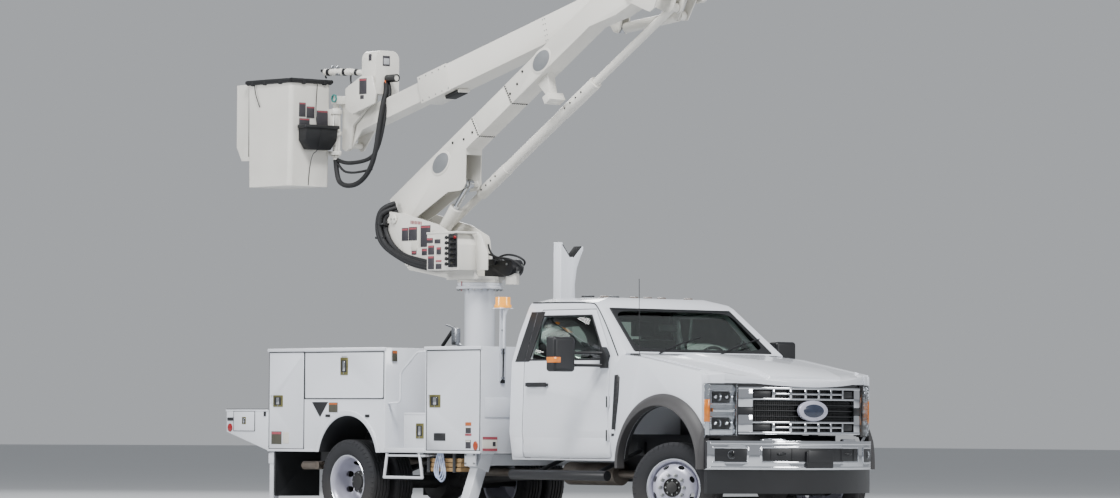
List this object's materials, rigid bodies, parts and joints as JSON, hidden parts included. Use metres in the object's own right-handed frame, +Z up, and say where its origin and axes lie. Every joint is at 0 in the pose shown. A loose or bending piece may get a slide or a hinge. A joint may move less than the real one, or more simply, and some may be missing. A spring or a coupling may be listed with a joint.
{
  "type": "aerial bucket truck",
  "caption": "Aerial bucket truck with a folding boom on a turntable, a telescoping insulated tip with a levelled work bucket, and a service body on a dual rear wheel chassis.",
  "frame": {"origin": "on the ground, under the middle of the parked truck's bounding box", "axes": "+X towards the front of the truck, +Y towards its left side, +Z up"},
  "size_m": [8.1042, 2.962, 5.3131],
  "materials": {
    "white_paint": "gloss",
    "boom_paint": "gloss",
    "dark_metal": "satin",
    "grey_plastic": "matte",
    "black_plastic": "matte",
    "chrome": "polished",
    "steel_rod": "polished",
    "cast_iron": "matte",
    "tyre": "matte",
    "glass": "polished",
    "lamp": "polished",
    "amber": "gloss",
    "seat_fabric": "matte",
    "fibreglass": "gloss",
    "tread_plate": "satin",
    "rubber": "matte",
    "steel": "satin"
  },
  "bodies": {
    "bucket": {"bucket": "fibreglass"},
    "compression_link": {"compression_link": "boom_paint"},
    "elbow": {"elbow": "boom_paint"},
    "front_wheel_left": {"front_wheel_left": "tyre"},
    "front_wheel_right": {"front_wheel_right": "tyre"},
    "hood": {"hood": "white_paint"},
    "knuckle_left": {"knuckle_left": "cast_iron"},
    "knuckle_right": {"knuckle_right": "cast_iron"},
    "lift_barrel": {"lift_barrel": "boom_paint"},
    "lift_rod": {"lift_rod": "steel_rod"},
    "outrigger_leg_left": {"outrigger_leg_left": "white_paint"},
    "outrigger_leg_right": {"outrigger_leg_right": "white_paint"},
    "platform_head": {"platform_head": "boom_paint"},
    "rear_wheels_left": {"rear_wheels_left": "tyre"},
    "rear_wheels_right": {"rear_wheels_right": "tyre"},
    "tie_rod": {"tie_rod": "dark_metal"},
    "tip_boom": {"tip_boom": "fibreglass"},
    "turntable": {"turntable": "boom_paint"},
    "upper_boom": {"upper_boom": "boom_paint"},
    "upper_lift_barrel": {"upper_lift_barrel": "boom_paint"},
    "upper_lift_rod": {"upper_lift_rod": "steel_rod"},
    "cab_door_right": {"cab_door_right": "white_paint", "door_glass_right": "glass"},
    "locker_rear_vertical_right": {"locker_rear_vertical_right": "white_paint"},
    "locker_horizontal_right": {"locker_horizontal_right": "white_paint"},
    "locker_front_vertical_right": {"locker_front_vertical_right": "white_paint"},
    "cab_door_left": {"cab_door_left": "white_paint", "door_glass_left": "glass"},
    "locker_rear_vertical_left": {"locker_rear_vertical_left": "white_paint"},
    "locker_horizontal_left": {"locker_horizontal_left": "white_paint"},
    "locker_front_vertical_left": {"locker_front_vertical_left": "white_paint"},
    "lower_boom": {"lower_boom": "boom_paint", "lower_boom_insert": "fibreglass"},
    "truck": {"access_steps": "white_paint", "beacon": "amber", "bed_floor": "tread_plate", "boom_rest": "white_paint", "cab_glass": "glass", "cab_shell": "white_paint", "cabinet_left": "white_paint", "cabinet_right": "white_paint", "dashboard": "black_plastic", "engine_block": "cast_iron", "exhaust": "steel", "fenders": "white_paint", "frame_rails": "dark_metal", "front_axle": "dark_metal", "front_bumper": "chrome", "grille": "chrome", "headlights": "lamp", "mud_flaps": "rubber", "outrigger_housing": "white_paint", "pedestal": "white_paint", "rear_axle": "dark_metal", "running_boards": "dark_metal", "seats": "seat_fabric", "tail_shelf": "white_paint", "wheel_flares": "grey_plastic"}
  },
  "joints": [
    {"name": "steer_right", "type": "hinge", "parent": "truck", "child": "knuckle_right", "pos_m": [3.172, -0.8, 0.398], "axis": [0, 0, 1], "range_deg": [-64, 12]},
    {"name": "steer_left", "type": "hinge", "parent": "truck", "child": "knuckle_left", "pos_m": [3.172, 0.8, 0.398], "axis": [0, 0, 1], "range_deg": [-64, 12]},
    {"name": "tie_rod_turn", "type": "hinge", "parent": "knuckle_left", "child": "tie_rod", "pos_m": [3.03202, 0.66497, 0.32], "axis": [0, 0, 1], "range_deg": [-12, 64]},
    {"name": "spin_front_right", "type": "hinge", "parent": "knuckle_right", "child": "front_wheel_right", "pos_m": [3.172, -0.8, 0.398], "axis": [-0.4384, 0.8988, 0], "continuous": true},
    {"name": "spin_front_left", "type": "hinge", "parent": "knuckle_left", "child": "front_wheel_left", "pos_m": [3.172, 0.8, 0.398], "axis": [-0.4384, 0.8988, 0], "continuous": true},
    {"name": "spin_rear_right", "type": "hinge", "parent": "truck", "child": "rear_wheels_right", "pos_m": [-1.121, 0, 0.398], "axis": [0, 1, 0], "continuous": true},
    {"name": "spin_rear_left", "type": "hinge", "parent": "truck", "child": "rear_wheels_left", "pos_m": [-1.121, 0, 0.398], "axis": [0, 1, 0], "continuous": true},
    {"name": "cab_door_right_swing", "type": "hinge", "parent": "truck", "child": "cab_door_right", "pos_m": [2.382, -1.01, 1.2], "axis": [0, 0, 1], "range_deg": [0, 65]},
    {"name": "cab_door_left_swing", "type": "hinge", "parent": "truck", "child": "cab_door_left", "pos_m": [2.382, 1.01, 1.2], "axis": [0, 0, -1], "range_deg": [0, 65]},
    {"name": "hood_lift", "type": "hinge", "parent": "truck", "child": "hood", "pos_m": [2.647, 0, 1.54], "axis": [0, -1, 0], "range_deg": [0, 65]},
    {"name": "locker_rear_vertical_right_swing", "type": "hinge", "parent": "truck", "child": "locker_rear_vertical_right", "pos_m": [-1.785, -1.198, 1.1625], "axis": [0, 0, 1], "range_deg": [0, 90]},
    {"name": "locker_rear_vertical_left_swing", "type": "hinge", "parent": "truck", "child": "locker_rear_vertical_left", "pos_m": [-1.785, 1.198, 1.1625], "axis": [0, 0, -1], "range_deg": [0, 90]},
    {"name": "locker_horizontal_right_drop", "type": "hinge", "parent": "truck", "child": "locker_horizontal_right", "pos_m": [-1.167, -1.198, 1.19], "axis": [1, 0, 0], "range_deg": [0, 90]},
    {"name": "locker_horizontal_left_drop", "type": "hinge", "parent": "truck", "child": "locker_horizontal_left", "pos_m": [-1.167, 1.198, 1.19], "axis": [-1, 0, 0], "range_deg": [0, 90]},
    {"name": "locker_front_vertical_right_swing", "type": "hinge", "parent": "truck", "child": "locker_front_vertical_right", "pos_m": [0.824, -1.198, 1.1625], "axis": [0, 0, 1], "range_deg": [0, 110]},
    {"name": "locker_front_vertical_left_swing", "type": "hinge", "parent": "truck", "child": "locker_front_vertical_left", "pos_m": [0.824, 1.198, 1.1625], "axis": [0, 0, -1], "range_deg": [0, 110]},
    {"name": "outrigger_right_slide", "type": "slide", "parent": "truck", "child": "outrigger_leg_right", "axis": [0, -0.3584, -0.9336], "range_m": [-0.25, 0]},
    {"name": "outrigger_left_slide", "type": "slide", "parent": "truck", "child": "outrigger_leg_left", "axis": [0, 0.3584, -0.9336], "range_m": [-0.25, 0]},
    {"name": "turntable_slew", "type": "hinge", "parent": "truck", "child": "turntable", "pos_m": [-0.608, 0, 2.29], "axis": [0, 0, 1], "continuous": true},
    {"name": "lower_boom_lift", "type": "hinge", "parent": "turntable", "child": "lower_boom", "pos_m": [-1.64, 0, 2.919], "axis": [0, -1, 0], "range_deg": [-34, 44]},
    {"name": "link_swing", "type": "hinge", "parent": "turntable", "child": "compression_link", "pos_m": [-1.388, 0.168, 2.788], "axis": [0, -1, 0], "range_deg": [-34, 44]},
    {"name": "elbow_level", "type": "hinge", "parent": "lower_boom", "child": "elbow", "pos_m": [1.66781, 0, 4.90653], "axis": [0, -1, 0], "range_deg": [-44, 34]},
    {"name": "lift_barrel_swing", "type": "hinge", "parent": "turntable", "child": "lift_barrel", "pos_m": [-1.428, 0, 2.5], "axis": [0, -1, 0], "range_deg": [-28.56, 36.96]},
    {"name": "lift_rod_slide", "type": "slide", "parent": "lift_barrel", "child": "lift_rod", "axis": [0.6641, 0, 0.7476], "range_m": [-0.23806, 0.30805]},
    {"name": "upper_boom_lift", "type": "hinge", "parent": "elbow", "child": "upper_boom", "pos_m": [1.93781, 0.365, 4.93153], "axis": [0, -1, 0], "range_deg": [-89.6, 3.4]},
    {"name": "upper_barrel_swing", "type": "hinge", "parent": "elbow", "child": "upper_lift_barrel", "pos_m": [1.81281, 0.365, 4.71553], "axis": [0, -1, 0], "range_deg": [-89.6, 3.4]},
    {"name": "upper_rod_slide", "type": "slide", "parent": "upper_lift_barrel", "child": "upper_lift_rod", "axis": [-0.996, 0, -0.0894], "range_m": [-0.01353, 0.35399]},
    {"name": "tip_boom_slide", "type": "slide", "parent": "upper_boom", "child": "tip_boom", "axis": [-0.9677, 0, -0.2521], "range_m": [0, 2.6]},
    {"name": "platform_level", "type": "hinge", "parent": "tip_boom", "child": "platform_head", "pos_m": [-2.97767, 0.365, 3.70075], "axis": [0, -1, 0], "range_deg": [-3.4, 89.6]},
    {"name": "bucket_turn", "type": "hinge", "parent": "platform_head", "child": "bucket", "pos_m": [-3.06317, 0.18, 3.8], "axis": [0, 0, 1], "range_deg": [-90, 0]}
  ],
  "couplings": [
    {"joint": "steer_left", "follows": "steer_right", "ratio": 1},
    {"joint": "tie_rod_turn", "follows": "steer_right", "ratio": -1},
    {"joint": "link_swing", "follows": "lower_boom_lift", "ratio": 1},
    {"joint": "elbow_level", "follows": "lower_boom_lift", "ratio": -1},
    {"joint": "lift_barrel_swing", "follows": "lower_boom_lift", "ratio": 0.84},
    {"joint": "lift_rod_slide", "follows": "lower_boom_lift", "m_per_rad": 0.401},
    {"joint": "upper_barrel_swing", "follows": "upper_boom_lift", "ratio": 1},
    {"joint": "upper_rod_slide", "follows": "upper_boom_lift", "m_per_rad": -0.2263},
    {"joint": "platform_level", "follows": "upper_boom_lift", "ratio": -1}
  ]
}
